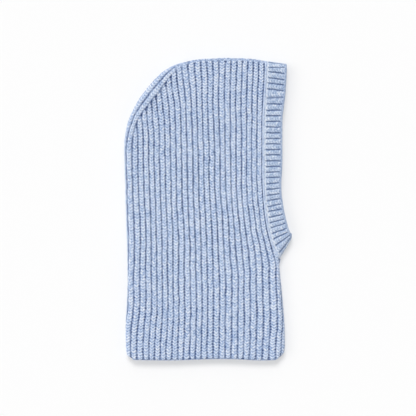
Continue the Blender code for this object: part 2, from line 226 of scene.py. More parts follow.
# the guide lines as one close table: a row every 2 mm, a column every half rib
TABLE_Y = np.arange(-200.0, 210.0, 2.0)
TABLE_U = np.arange(-2.0, 30.1, 0.5)
_held = cubic_at(RIB_Y, np.array(list(RIB_LINES.values())).T, np.clip(TABLE_Y, -196, 186))
TABLE = cubic_at(list(RIB_LINES), _held.T, TABLE_U).T


def rib_x(u, y):
    u, y = np.broadcast_arrays(np.asarray(u, float), np.asarray(y, float))
    a = np.clip((y - TABLE_Y[0]) / 2.0, 0, len(TABLE_Y) - 1.001)
    b = np.clip((u - TABLE_U[0]) / 0.5, 0, len(TABLE_U) - 1.001)
    i, j = a.astype(int), b.astype(int)
    a, b = a - i, b - j
    lo = TABLE[i, j] * (1 - b) + TABLE[i, j + 1] * b
    hi = TABLE[i + 1, j] * (1 - b) + TABLE[i + 1, j + 1] * b
    at_u = lo * (1 - a) + hi * a
    return at_u + (u - np.clip(u, TABLE_U[0], TABLE_U[-1])) * PITCH


def rib_u(x, y):
    u = 1 + 25 * (np.asarray(x, float) + 104) / 172
    for _ in range(24):
        u = u + 0.9 * (x - rib_x(u, y)) / PITCH
    return u


def smoothstep(a, b, x):
    t = np.clip((x - a) / (b - a), 0, 1)
    return t * t * (3 - 2 * t)


def value_noise(x, y, seed):
    """Smooth noise from -1 to 1, one cell a unit."""
    table = np.random.RandomState(seed).uniform(-1, 1, (256, 256))
    xi, yi = np.floor(x).astype(int), np.floor(y).astype(int)
    fx, fy = x - xi, y - yi
    fx, fy = fx * fx * (3 - 2 * fx), fy * fy * (3 - 2 * fy)
    a, b = table[xi % 256, yi % 256], table[(xi + 1) % 256, yi % 256]
    c, d = table[xi % 256, (yi + 1) % 256], table[(xi + 1) % 256, (yi + 1) % 256]
    return (a + (b - a) * fx) * (1 - fy) + (c + (d - c) * fx) * fy


def picked(i, j, seed):
    """One random number from -1 to 1 for each pair of whole numbers."""
    table = np.random.RandomState(seed).uniform(-1, 1, (509, 503))
    return table[i.astype(int) % 509, j.astype(int) % 503]


# The fold: a quarter ellipse from the fold plane to the flat of the layer.
_th = np.linspace(0, math.pi / 2, 400)


class Fold:
    def __init__(self, wide, high):
        self.d = wide * (1 - np.cos(_th))
        self.h = high * np.sin(_th)
        self.s = np.concatenate([[0], np.cumsum(np.hypot(np.diff(self.d), np.diff(self.h)))])
        self.wide, self.high, self.total = wide, high, self.s[-1]

    def s_of(self, d):
        return np.where(d < self.wide, np.interp(d, self.d, self.s), d - self.wide + self.total)

    def d_of(self, s):
        return np.where(s < self.total, np.interp(s, self.s, self.d), s - self.total + self.wide)

    def h_of(self, d):
        c = 1 - np.clip(d / self.wide, 0, 1)
        return self.high * np.sqrt(1 - c * c)


PANEL_FOLD = Fold(ROLL, TOP - MID)
BAND_FOLD = Fold(ROLL, BAND_TOP - MID)


# ---------------------------------------------------------------------------
# knitted relief
# ---------------------------------------------------------------------------
RIB_DEEP = 2.8
LEAN = 0.80               # how far a stitch's leg climbs, in courses, from rib centre to groove


def stitch_relief(u, v, seed, deep=RIB_DEEP, sharp=2.3, legs=1.0, ladder=1.0, pinch=0.0, wide=0.50):
    """Height in mm under the rib tops, a tone for each stitch with a painted
    highlight along each leg, and painted shade for the grooves, holes and clefts between yarns, for rib and course
    coordinates."""
    # each stitch pushes the groove beside it a little to one side
    u = u + 0.034 * legs * picked(np.floor(u + 0.5), np.floor(v * 0.999 + 0.3), seed + 6) * np.sin(np.pi * ((v * 0.999 + 0.3) % 1)) ** 2
    rib = np.floor(u)
    w = np.abs(u - rib - 0.5) * 2
    w = np.minimum(w * (1 + 0.55 * pinch), 1)
    side = (u - rib > 0.5).astype(int)
    ridge = np.clip(1 - w ** sharp, 0, 1) ** 0.55
    shift = 0.5 * picked(rib, rib * 0, seed + 3)
    q = v - LEAN * w + shift
    stitch = np.floor(q)
    f = q - stitch
    near = np.minimum(f, 1 - f)
    body = smoothstep(1.0, 0.80, w)
    crease = np.exp(-(near / 0.19) ** 2) * body
    bulge = np.sin(np.pi * f) ** 0.8 * body
    # the cleft between two legs closes at the foot of each V
    foot = np.cos(np.pi * (v + shift - 0.12)) ** 2
    cleft = np.exp(-(w / 0.16) ** 2) * (0.35 + 0.65 * foot)
    rnd = picked(rib * 2 + side, stitch, seed)
    # purl heads cross each groove once a course, with a hole between them
    row = v + 0.5 * picked(np.floor(u + 0.5), rib * 0, seed + 4)
    purl = np.cos(np.pi * row) ** 2
    hole = 1 - purl
    # the holes are not all as open as each other, singly and along the groove
    open_ = (0.62 + 0.48 * picked(np.floor(u + 0.5), np.floor(row), seed + 5)
             + 0.30 * value_noise(u * 0.9, v / 3.5, seed + 7))
    groove = smoothstep(wide, 0.92, w)
    h = (-deep * (1 - ridge) + legs * (0.40 * (bulge - 1) - 0.50 * crease - 0.50 * cleft)
         + ladder * groove * (1.0 * purl - 0.7 * hole * (open_ - 0.5)) + 0.16 * legs * rnd * body)
    # painted highlight along the middle of each leg, added to the stitch's random tone
    leg_highlight = legs * np.exp(-((f - 0.5) / 0.2) ** 2) * smoothstep(0.95, 0.55, w)
    tone_and_highlight = 0.85 * rnd * body + 1.55 * leg_highlight
    # painted shade: darkest in the grooves and their open holes, and in the cleft between two legs
    dark = (groove * (1 - 0.42 * ladder + 0.85 * ladder * (hole * open_ - 0.12)) + legs * 0.36 * cleft * (1 - groove))
    return h, tone_and_highlight, np.clip(dark, 0, 1), q


def mesh_object(name, points, faces, layers, attributes):
    """points in mm; faces as an (n, 3) and an (n, 4) array."""
    mesh = bpy.data.meshes.new(name)
    tri, quad = faces
    loops = np.concatenate([quad.reshape(-1), tri.reshape(-1)]).astype(np.int32)
    sizes = np.concatenate([np.full(len(quad), 4), np.full(len(tri), 3)]).astype(np.int32)
    mesh.vertices.add(len(points))
    mesh.vertices.foreach_set("co", (points * MM).astype(np.float32).reshape(-1))
    mesh.loops.add(len(loops))
    mesh.loops.foreach_set("vertex_index", loops)
    mesh.polygons.add(len(sizes))
    mesh.polygons.foreach_set("loop_start", np.concatenate([[0], np.cumsum(sizes)[:-1]]).astype(np.int32))
    mesh.polygons.foreach_set("loop_total", sizes)
    for layer, uv in layers.items():
        data = mesh.uv_layers.new(name=layer)
        data.data.foreach_set("uv", uv[loops].astype(np.float32).reshape(-1))
    for key, value in attributes.items():
        a = mesh.attributes.new(key, "FLOAT", "POINT")
        a.data.foreach_set("value", value.astype(np.float32))
    mesh.update(calc_edges=True)
    mesh.validate()
    mesh.shade_smooth()
    obj = bpy.data.objects.new(name, mesh)
    bpy.context.scene.collection.objects.link(obj)
    return obj


def grid_faces(index):
    a, b, c, d = index[:-1, :-1], index[1:, :-1], index[1:, 1:], index[:-1, 1:]
    return np.stack([a, b, c, d], -1).reshape(-1, 4)


def vertex_normals(points, quads):
    a, b, c, d = (points[quads[:, k]] for k in range(4))
    n = np.cross(c - a, d - b)
    out = np.zeros_like(points)
    for k in range(4):
        np.add.at(out, quads[:, k], n)
    return out / np.maximum(np.linalg.norm(out, axis=1), 1e-9)[:, None]


def zipped(points, one, two):
    """Triangles between two lines of vertices that start and end together."""
    ra, rb = run_of(points[one]), run_of(points[two])
    ra, rb = ra / ra[-1], rb / rb[-1]
    i = j = 0
    out = []
    while i < len(one) - 1 or j < len(two) - 1:
        if j == len(two) - 1 or (i < len(one) - 1 and ra[i + 1] <= rb[j + 1]):
            out.append((one[i], one[i + 1], two[j]))
            i += 1
        else:
            out.append((one[i], two[j + 1], two[j]))
            j += 1
    return out


# ---------------------------------------------------------------------------
# side panels
# ---------------------------------------------------------------------------
U_LEFT, Y_CORNER = 2.0, 148.5
CORNER_U = float(rib_u(x_at(SP2_L, Y_CORNER), Y_CORNER))


def left_u(y):
    """Rib coordinate of the main net's left border."""
    true = rib_u(x_at(SP2_L, y), y)
    return U_LEFT + (true - U_LEFT) * smoothstep(30, 92, y)


def fold_distances(p):
    back, where = distance(p, BACK_L)
    neck = np.minimum(distance(p, NECK_L)[0], distance(p, CHIN_L)[0])
    return back, where, neck


def panel_net(per_rib, step, across_fold, across_neck):
    """Plan places, heights and knit coordinates of a side panel's outer
    surface, its quads, and its border in four runs."""
    cols = int(24 * per_rib)
    c = np.linspace(0, 1, cols + 1)
    hem_y = lambda x: np.interp(x, HEM_L[:, 0], HEM_L[:, 1])

    # rows: close together where the hem rounds over, then even
    start = np.array([0, 0.14, 0.42, 0.85, 1.35, 1.9, 2.5]) if step < 1.5 else np.array([0, 0.9, 2.4])
    total = 360.0
    rest = np.linspace(start[-1], total, int((total - start[-1]) / step))[1:]
    tau = np.concatenate([start, rest]) / total

    def bottom(u):
        y = np.full_like(u, -192.0)
        for _ in range(4):
            y = hem_y(rib_x(u, y))
        return y

    u_bottom = 2 + 24 * c
    u_top = u_bottom + (CORNER_U - 2) * (1 - c) ** 2.5
    # where each rib line meets the top border
    part = SP2_L[SP2_L[:, 1] >= Y_CORNER - 6]
    part = part[np.argmax(part[:, 1] >= Y_CORNER - 6):]
    up = rib_u(part[:, 0], part[:, 1])
    y_top = np.interp(u_top, up, part[:, 1])
    y_hem = bottom(u_bottom)
    yl = y_hem[0] + (Y_CORNER - y_hem[0]) * tau
    yr = y_hem[-1] + (y_top[-1] - y_hem[-1]) * tau
    C, T = np.meshgrid(c, tau)                      # rows of columns
    Y = ((1 - C) * yl[:, None] + C * yr[:, None]
         + (1 - T) * (y_hem - ((1 - c) * y_hem[0] + c * y_hem[-1]))[None]
         + T * (y_top - ((1 - c) * Y_CORNER + c * y_top[-1]))[None])
    U = 2 + 24 * C + (left_u(yl)[:, None] - 2) * (1 - C) ** 2.5
    X = rib_x(U, Y)
    rows = len(tau)

    # right of the last groove, to the face seam or round the neck fold
    neck_top = -64.6
    edge = PANEL_EDGE_L[PANEL_EDGE_L[:, 1] > neck_top]
    neck = NECK_L[NECK_L[:, 1] < neck_top - 0.6]
    right = np.vstack([neck[::-1], edge]) if edge[0, 1] < edge[-1, 1] else np.vstack([neck[::-1], edge[::-1]])
    drop = right[0, 1] - y_hem[-1]
    y_edge = Y[:, -1] + drop * np.exp(-(Y[:, -1] - y_hem[-1]) / 6.0)
    x_edge = x_at(right, y_edge)
    a = np.stack([X[:, -1], Y[:, -1]], -1)
    b = np.stack([x_edge, y_edge], -1)
    da = np.minimum(distance(a, NECK_L)[0], distance(a, CHIN_L)[0])
    db = np.minimum(distance(b, NECK_L)[0], distance(b, CHIN_L)[0])
    sa, sb = PANEL_FOLD.s_of(da), PANEL_FOLD.s_of(db)
    k = np.arange(1, across_neck + 1) / across_neck
    S = sa[:, None] + (sb - sa)[:, None] * k[None]
    D = PANEL_FOLD.d_of(S)
    gap = da - db
    share = np.where(np.abs(gap)[:, None] > 0.3,
                     (da[:, None] - D) / np.where(np.abs(gap) > 0.3, gap, 1)[:, None], k[None])
    share = np.clip(share, 0, 1)
    RX = a[:, None, 0] + (b - a)[:, None, 0] * share
    RY = a[:, None, 1] + (b - a)[:, None, 1] * share
    extra = (PANEL_FOLD.s_of(da) - da)[:, None] - (PANEL_FOLD.s_of(D) - D)
    RU = 26 + ((RX - a[:, None, 0]) + extra) / PITCH
    X, Y, U = np.hstack([X, RX]), np.hstack([Y, RY]), np.hstack([U, RU])
    index = np.arange(X.size).reshape(X.shape)
    count = X.size
    plan = np.stack([X.ravel(), Y.ravel()], -1)
    u_all = U.ravel()
    v_all = plan[:, 1] / COURSE

    # the strip that rolls over the back and crown fold
    border = np.concatenate([index[:, 0], index[-1, 1:]])
    P = plan[border]
    Q = np.empty_like(P)
    low = P[:, 1] < 70
    dist, where = distance(P, BACK_L)
    Q[:] = along(BACK_L, where)
    drop = BACK_L[0, 1] - P[0, 1]
    qy = P[:, 1] + drop * np.exp(-(P[:, 1] - P[0, 1]) / 6.0)
    Q[low, 1] = qy[low]
    left = BACK_L[BACK_L[:, 1] < 76]
    Q[low, 0] = x_at(left[:int(np.argmax(left[:, 1])) + 1], qy[low])
    d2 = np.linalg.norm(P - Q, axis=1)
    # the last stations stand on the panel's own cut edge
    tail = np.arange(len(P)) >= len(P) - across_neck - 1
    Q[tail, 0] = P[tail, 0] + 0.35
    Q[tail, 1] = np.interp(Q[tail, 0], BACK_L[-80:, 0], BACK_L[-80:, 1])
    d2 = np.linalg.norm(P - Q, axis=1)
    s2 = PANEL_FOLD.s_of(d2)
    m = np.arange(1, across_fold + 1) / across_fold
    S = s2[:, None] * (1 - m)[None]
    D = PANEL_FOLD.d_of(S)
    way = (P - Q) / d2[:, None]
    SX = Q[:, None, 0] + way[:, None, 0] * D
    SY = Q[:, None, 1] + way[:, None, 1] * D
    # spine ribs: groove 1 lies d1 in from the fold, groove 2 is the border
    g1 = SP1_L
    gd, gw = distance(g1, BACK_L)
    qw = distance(Q, BACK_L)[1]
    high = g1[:, 1] > 0
    d1 = np.interp(qw, gw[high], gd[high])
    below = P[:, 1] < 20
    d1 = np.where(below, rib_x(1.0, P[:, 1]) - Q[:, 0], d1)
    s1 = np.where(d1 > 0, PANEL_FOLD.s_of(np.maximum(d1, 0)), d1 * 1.6)
    us = 1 + (S - s1[:, None]) / np.maximum(s2 - s1, 3.0)[:, None]
    run = run_of(P)
    vs = (P[0, 1] + run)[:, None] / COURSE + 0 * S
    strip_index = count + np.arange(SX.size).reshape(SX.shape)
    strip = np.hstack([border[:, None], strip_index])
    plan = np.vstack([plan, np.stack([SX.ravel(), SY.ravel()], -1)])
    kappa = smoothstep(-50, -30, P[:, 0]) * (P[:, 1] > 100)
    fade_in = np.concatenate([np.zeros(count), np.repeat(kappa, across_fold)])
    u_spine = np.concatenate([np.full(count, 1.5), us.ravel()])
    v_spine = np.concatenate([np.zeros(count), vs.ravel()])
    is_strip = np.arange(len(plan)) >= count
    u_main = np.concatenate([u_all, rib_u(SX.ravel(), SY.ravel())])
    v_main = np.concatenate([v_all, SY.ravel() / COURSE])

    # heights
    back, _, neck_d = fold_distances(plan)
    back[count:] = D.ravel()
    d = np.minimum(back, neck_d)
    height = PANEL_FOLD.h_of(d)
    # round over the hem
    hem_gap = plan[:, 1] - np.interp(plan[:, 0], HEM_L[:, 0], HEM_L[:, 1])
    quads = np.vstack([grid_faces(index)[:, ::-1], grid_faces(strip)])
    hem_run = np.concatenate([strip[0, ::-1], index[0, 1:]])
    right_run = index[:, -1]
    end_run = strip[-1]
    fold_run = strip[::-1, -1]
    base = np.stack([plan[:, 0], plan[:, 1], height], -1)
    return {"base": base, "quads": quads, "u": u_main, "v": v_main, "us": u_spine,
            "vs": v_spine, "strip": is_strip, "kappa": fade_in, "back": back,
            "neck": neck_d, "hem_gap": hem_gap, "runs": (hem_run, right_run, end_run, fold_run),
            "border_line": SP2_L}


def waves(x, y):
    """Slight sag between places where the layer lies higher, in mm."""
    return (0.42 * value_noise(x / 62 + 3.1, y / 74 + 1.7, 11)
            + 0.22 * value_noise(x / 27 + 9.4, y / 33 + 5.2, 12))


def panel_relief(net, seed):
    x, y = net["base"][:, 0], net["base"][:, 1]
    wob = (0.055 * value_noise(net["u"] * 0.9, y / 9.0, seed + 21)
           + 0.030 * value_noise(net["u"] * 2.1, y / 4.2, seed + 22))
    stretch = 0.16 * value_noise(x / 40, y / 30, seed + 23)
    strip, kappa = net["strip"], net["kappa"]
    # ribs that end on the spine's inner groove draw together and round off
    free = (y > 60) & ~strip
    gap = np.full(len(x), 99.0)
    gap[free] = distance(net["base"][free][:, :2], net["border_line"])[0]
    crown = smoothstep(-52, -34, x)
    pinch = 0.75 * (1 - smoothstep(0.0, 4.5, gap)) * (1 - crown) * smoothstep(74, 100, y)
    # and where they turn over the crown
    pinch = np.maximum(pinch, 0.35 * crown * np.exp(-((net["back"] - 4.6) / 2.2) ** 2) * (y > 100))
    # and a little at the hem
    pinch = np.maximum(pinch, 0.5 * (1 - smoothstep(0.0, 4.0, net["hem_gap"])))
    h, tone_and_highlight, crease, leg = stitch_relief(net["u"] + wob, net["v"] + stretch, seed, pinch=pinch)
    # where the ribs shut against the spine's groove they sink and get extra painted shade; crease here carries
    # stitch_relief's painted shade
    shut = (1 - smoothstep(0.2, 2.2, gap)) * (1 - crown) * smoothstep(74, 100, y)
    h = h * (1 - shut) + (0.35 * h - 0.5 * RIB_DEEP) * shut
    crease = np.clip(crease + 0.25 * shut, 0, 1)
    # spine strip
    hs, strip_tone_and_highlight, strip_painted_shade, ls = stitch_relief(net["us"] + 0.6 * wob, net["vs"], seed + 50)
    hs = hs + 0.25 * value_noise(net["vs"] * 1.1, net["us"], seed + 51) * smoothstep(4.0, 0.5, net["back"])
    fade = smoothstep(2.0, 7.6, net["back"] + 1.1 * value_noise(x / 3.1, y / 5.0, seed + 35))
    lump = 0.42 * value_noise(x / 1.9, y / 1.9, seed + 31) + 0.22 * value_noise(x / 5.3, y / 5.3, seed + 32)
    hc = h * fade + (1 - fade) * (-0.55 + lump)
    # painted shade in spots among the lumps on the crown's fold edge
    crown_shade_spots = 0.20 + 0.55 * np.maximum(value_noise(x / 1.7, y / 1.7, seed + 33), 0)
    h_strip = hs * (1 - kappa) + hc * kappa
    h = np.where(strip, h_strip, h)
    tone_and_highlight = np.where(strip, strip_tone_and_highlight * (1 - kappa) + tone_and_highlight * fade * kappa, tone_and_highlight)
    crease = np.where(strip, strip_painted_shade * (1 - kappa) + (crease * fade + crown_shade_spots * (1 - fade)) * kappa, crease)
    near_top = (~strip) & (x > -50) & (net["back"] < 9)
    fade_main = np.where(near_top, 0.85 + 0.15 * smoothstep(6.0, 9.0, net["back"]), 1.0)
    h = np.where(strip, h, h * fade_main)
    # the linked join on the fold itself
    join = np.exp(-(net["back"] / 0.55) ** 2) + np.exp(-(net["neck"] / 0.35) ** 2)
    h = h - 0.35 * join
    out = smoothstep(6.0, 0.5, net["back"]) * (0.95 + 0.3 * smoothstep(70, 110, y)) * (1 - 0.8 * crown)
    h = h + out + 0.7 * smoothstep(6.0, 0.5, net["neck"])
    leg = np.where(strip & (kappa < 0.5), ls, leg)
    return h, tone_and_highlight, crease, leg


def uv_in(u, v):
    w = np.abs(u - np.floor(u) - 0.5) * 2
    a, b = w * PITCH / 2, v * COURSE
    ang = math.atan2(LEAN * COURSE, PITCH / 2)
    return np.stack([-a * math.sin(ang) + b * math.cos(ang), a * math.cos(ang) + b * math.sin(ang)], -1)


def soften(points, quads, tris, places, near, far, rounds=16):
    """Evens out the mesh where two edges meet in a corner."""
    d = np.min([np.hypot(points[:, 0] - x, points[:, 1] - y) for x, y in places], axis=0)
    weight = 0.6 * (1 - smoothstep(near, far, d))
    edges = np.vstack([quads[:, [0, 1]], quads[:, [1, 2]], quads[:, [2, 3]], quads[:, [3, 0]],
                       tris[:, [0, 1]], tris[:, [1, 2]], tris[:, [2, 0]]])
    edges = np.unique(np.sort(edges, axis=1), axis=0)
    edges = edges[(weight[edges] > 0).any(axis=1)]
    a, b = np.concatenate([edges[:, 0], edges[:, 1]]), np.concatenate([edges[:, 1], edges[:, 0]])
    count = np.maximum(np.bincount(a, minlength=len(points)), 1)[:, None]
    for _ in range(rounds):
        mean = np.stack([np.bincount(a, points[b, k], len(points)) for k in range(3)], -1) / count
        points = points + weight[:, None] * (mean - points)
    return points


def shell(outer, inner, thick, flat_low, relief, edge_r):
    """Outer and inner surfaces of one knitted layer, zipped along their rims."""
    made, painted_shade_all, tone_and_highlight_all, yarn_all, leg_all = [], [], [], [], []
    for net, within in ((outer, False), (inner, True)):
        base = net["base"].copy()
        n = vertex_normals(base, net["quads"])
        h, tone_and_highlight, crease, leg = relief(net)
        low = flat_low(net)
        gap = net["edge_gap"]
        e = np.clip(gap, 0, edge_r)
        round_over = edge_r - np.sqrt(np.maximum(edge_r ** 2 - (edge_r - e) ** 2, 0))
        if within:
            w = np.abs(net["u"] - np.floor(net["u"]) - 0.5) * 2
            pull = -thick + 0.45 * (1 - w) - 0.25 + round_over
            pull = np.where(gap < 0.05, -edge_r - 0.05, pull)
            base = base + n * pull[:, None]
            # painted shade over the whole inner face, deeper behind the middle of each rib, and no tone
            dark, tone_and_highlight = 0.15 + 0.5 * np.clip(1 - w, 0, 1) ** 3, tone_and_highlight * 0
        else:
            body = h * smoothstep(-0.2, 1.6, gap) - round_over
            base = base + n * body[:, None]
            # painted shade from the relief's grooves, holes and creases
            dark = np.clip(crease, 0, 1)
            base = net["finish"](base, net)
        base[:, 2] += low * np.sign(base[:, 2])
        if net["one_sided"]:
            base[:, 2] = np.maximum(base[:, 2], 0.02 if within else 0.0)
        made.append(base)
        painted_shade_all.append(dark)
        tone_and_highlight_all.append(tone_and_highlight)
        leg_all.append(leg)
        yarn_all.append(uv_in(net["u"], net["v"]))
    count = len(made[0])
    points = np.vstack(made)
    quads = np.vstack([outer["quads"], inner["quads"][:, ::-1] + count])
    tris = []
    for p, q in zip(outer["runs"], inner["runs"]):
        tris += zipped(points, p, q + count)
    points = soften(points, quads, np.array(tris), [HEM[0], HEM[-1]], 2.2, 5.4)
    knit = np.concatenate([np.stack([n["u"] * PITCH, n["v"] * COURSE], -1) for n in (outer, inner)])
    # the deep channel is painted shade; the tone channel is random tone with painted highlights
    return {"points": points, "quads": quads, "tris": np.array(tris), "knit": knit * 0.01,
            "yarn": np.vstack(yarn_all) * 0.01, "deep": np.concatenate(painted_shade_all),
            "tone_and_highlight": np.concatenate(tone_and_highlight_all), "leg": np.concatenate(leg_all)}


def shell_object(name, part, mirrored=False):
    points, quads, tris = part["points"].copy(), part["quads"], part["tris"]
    if mirrored:
        points[:, 2] = MID - points[:, 2]
        quads, tris = quads[:, ::-1], tris[:, ::-1]
    else:
        points[:, 2] = MID + points[:, 2]
    # the deep channel carries painted shade and the tone channel random tone with painted highlights
    return mesh_object(name, points, (tris, quads), {"Knit": part["knit"], "Yarn": part["yarn"]},
                       {"deep": part["deep"], "tone_and_highlight": part["tone_and_highlight"], "leg": part["leg"]})


def hem_ends(base, net):
    """Each rib's end stands a little past the hem."""
    w = np.abs(net["u"] - np.floor(net["u"]) - 0.5) * 2
    base[:, 1] -= smoothstep(3.0, 0.0, net["edge_gap"]) * (1.1 * (1 - w ** 2.4) - 1.7)
    return base


def panel_shell(seed, fine):
    outer, inner = panel_net(*fine), panel_net(4, 2.9, 6, 5)
    for net in (outer, inner):
        net["edge_gap"], net["finish"], net["one_sided"] = net["hem_gap"], hem_ends, True
    low = lambda net: ((waves(net["base"][:, 0], net["base"][:, 1]) - 0.62)
                       * smoothstep(0.5, 8.0, np.minimum(net["back"], net["neck"])))
    return shell(outer, inner, PANEL_T, low, lambda net: panel_relief(net, seed), 1.75)


# ---------------------------------------------------------------------------
# face band
# ---------------------------------------------------------------------------
# Heights on the seam edge and on the free edge where each groove of the band
# starts and ends, from the forehead down to the chin.
BAND_L = [179.4, 174.6, 166.6, 160.2, 152.9, 140.5, 132.9, 125.1, 118.1, 110.9, 103.7, 96.4,
          89.2, 82.4, 75.1, 68.5, 60.9, 53.6, 46.4, 39.3, 31.2, 23.8, 16.2, 9.7, 2.1, -3.8,
          -11.5, -18.7, -24.9, -32.4, -39.2, -47.3, -58.0]
BAND_R = [180.2, 171.2, 163.4, 157.0, 149.3, 141.5, 132.9, 125.1, 118.1, 110.9, 103.7, 96.4,
          89.2, 82.4, 75.1, 68.5, 60.9, 53.6, 46.9, 40.4, 33.1, 26.6, 19.8, 13.4, 6.3, 0.2,
          -6.5, -12.5, -17.8, -24.0, -28.5, -32.6, -35.3]
G_TOP, G_CHIN = -1.6, 32.8


def line_at_y(line, y):
    return np.stack([x_at(line, y), y], -1)


def band_net(per_rib, step):
    g = np.linspace(G_TOP, G_CHIN, int((G_CHIN - G_TOP) * per_rib) + 1)
    n = np.arange(33)
    mid = np.clip(g, 0, 32)
    L = line_at_y(BAND_EDGE_L, np.interp(mid, n, BAND_L))
    R = line_at_y(FREE_L, np.interp(mid, n, BAND_R))
    # the free edge, and the small lobe it makes at the chin
    push = -0.8 + 1.4 * smoothstep(28, 62, R[:, 1])
    R = R + np.array([1.0, 0.0]) * push[:, None] + np.array([0.96, 0.28]) * (1.7 * smoothstep(30.3, 31.5, g))[:, None]
    # over the forehead fold
    up = g < 0
    ends = np.array([[75.4, 0.0], [100.7, 0.0]])
    ends[:, 1] = np.interp(ends[:, 0], BANDFOLD_L[:, 0], BANDFOLD_L[:, 1])
    for side, end in ((L, ends[0]), (R, ends[1])):
        first = side[np.argmax(~up)].copy()
        far = np.linalg.norm(end - first)
        d = BAND_FOLD.d_of(BAND_FOLD.s_of(far) * (g[up] - G_TOP) / -G_TOP)
        side[up] = end + (first - end) * (d / far)[:, None]
    # round the chin fold
    down = g > 32
    for side, end in ((L, np.array([93.6, -61.6])), (R, np.array([106.9, -37.4]))):
        last = side[np.argmax(down) - 1].copy()
        far = np.linalg.norm(end - last)
        s = BAND_FOLD.s_of(far) * (G_CHIN - g[down]) / (G_CHIN - 32)
        side[down] = end + (last - end) * (BAND_FOLD.d_of(s) / far)[:, None]
    wide = 24.0
    left = np.array([0, 0.25, 0.7, 1.3]) if step < 1.5 else np.array([0, 1.2])
    right = np.array([2.7, 2.1, 1.5, 1.0, 0.55, 0.2, 0.0]) if step < 1.5 else np.array([2.4, 1.0, 0.0])
    middle = np.linspace(left[-1], wide - right[0], int((wide - right[0] - left[-1]) / step) + 1)[1:-1]
    w = np.concatenate([left, middle, wide - right]) / wide
    # slightly uneven free edge
    P = L[:, None] + (R - L)[:, None] * w[None, :, None]
    width = np.linalg.norm(R - L, axis=1)
    e = width[:, None] * w[None]
    G = g[:, None] + 0 * e
    plan = P.reshape(-1, 2)
    d = np.minimum(distance(plan, BANDFOLD_L)[0], distance(plan, CHIN_L)[0])
    h = BAND_FOLD.h_of(d).reshape(G.shape)
    h[0] = 0.0
    h[-1] = 0.0
    top = np.concatenate([P, h[..., None]], -1)[::-1]          # chin to forehead
    low = np.concatenate([P, -h[..., None] * (MID / (BAND_TOP - MID))], -1)[1:]
    base = np.concatenate([top, low]).reshape(-1, 3)
    stack = lambda a: np.concatenate([a[::-1], a[1:]])
    G2, E2 = stack(G), stack(e)
    F2 = stack(width[:, None] - e)
    index = np.arange(G2.size).reshape(G2.shape)
    quads = grid_faces(index)
    nrm = vertex_normals(base, quads)
    if nrm[index[len(g) // 2, G2.shape[1] // 2], 2] < 0:
        quads = quads[:, ::-1]
    runs = (index[:, 0], index[-1], index[::-1, -1], index[0, ::-1])
    return {"base": base, "quads": quads, "u": G2.ravel(), "v": E2.ravel() / 3.3,
            "edge": E2.ravel(), "free": F2.ravel(), "edge_gap": F2.ravel(), "runs": runs,
            "finish": lambda b, n: b, "one_sided": False,
            "fold": np.concatenate([d.reshape(G.shape)[::-1], d.reshape(G.shape)[1:]]).ravel()}


def band_relief(net):
    x, y = net["base"][:, 0], net["base"][:, 1]
    wob = 0.04 * value_noise(net["u"] * 1.3, net["edge"] / 5.0, 71)
    h, tone_and_highlight, crease, leg = stitch_relief(net["u"] + wob, net["v"] + 0.2 * value_noise(x / 9, y / 9, 72), 300,
                                    deep=2.3, sharp=2.6, legs=0.6, ladder=0.40, wide=0.62)
    # ribs stop short of the cast-off edge
    stop = smoothstep(1.9, 3.6, net["free"]) * smoothstep(0.5, 2.6, net["edge"] + 0.5 * value_noise(y / 2.1, x / 2.1, 74))
    lump = 0.16 * value_noise(y / 1.7, x / 3.0, 73)
    h = h * stop + (1 - stop) * (-0.28 + lump)
    back = smoothstep(0.0, 1.1, net["edge"])
    h = h - 0.4 * (1 - back) ** 2
    h = h - 0.35 * np.exp(-(net["fold"] / 0.4) ** 2)
    # one groove is broad and uneven
    lost = np.exp(-((y - 140.6 + 0.7 * value_noise(x / 3.0, y / 6.0, 75)) / 2.2) ** 2) * smoothstep(2.5, 5.0, net["free"]) * (x > 60)
    lost = lost * (0.55 + 0.45 * value_noise(x / 2.2, y / 2.2, 76))
    h = h * (1 - 0.7 * lost) - 0.6 * lost * stop
    # painted shade in the grooves and the broad groove; off the ribs the cast-off border is made darker, most along a
    # line 2.5 mm in from the free edge; a painted highlight lightens the margin beside the seam
    rim = np.exp(-((net["free"] - 2.5) / 0.7) ** 2)
    margin = 1 - smoothstep(0.9, 3.2, net["edge"])
    deep = np.clip(crease * (1 - 0.7 * lost) + 0.33 * lost, 0, 1) * stop + (0.14 + 0.24 * rim) * (1 - stop) * (1 - margin)
    return h, tone_and_highlight * stop + 1.6 * margin, deep, leg


def band_shell(fine):
    outer, inner = band_net(*fine), band_net(4, 3.2)
    low = lambda net: (0.5 * waves(net["base"][:, 0], net["base"][:, 1]) - 0.4) * smoothstep(0.5, 8, net["fold"])
    return shell(outer, inner, BAND_T, low, band_relief, 1.95)


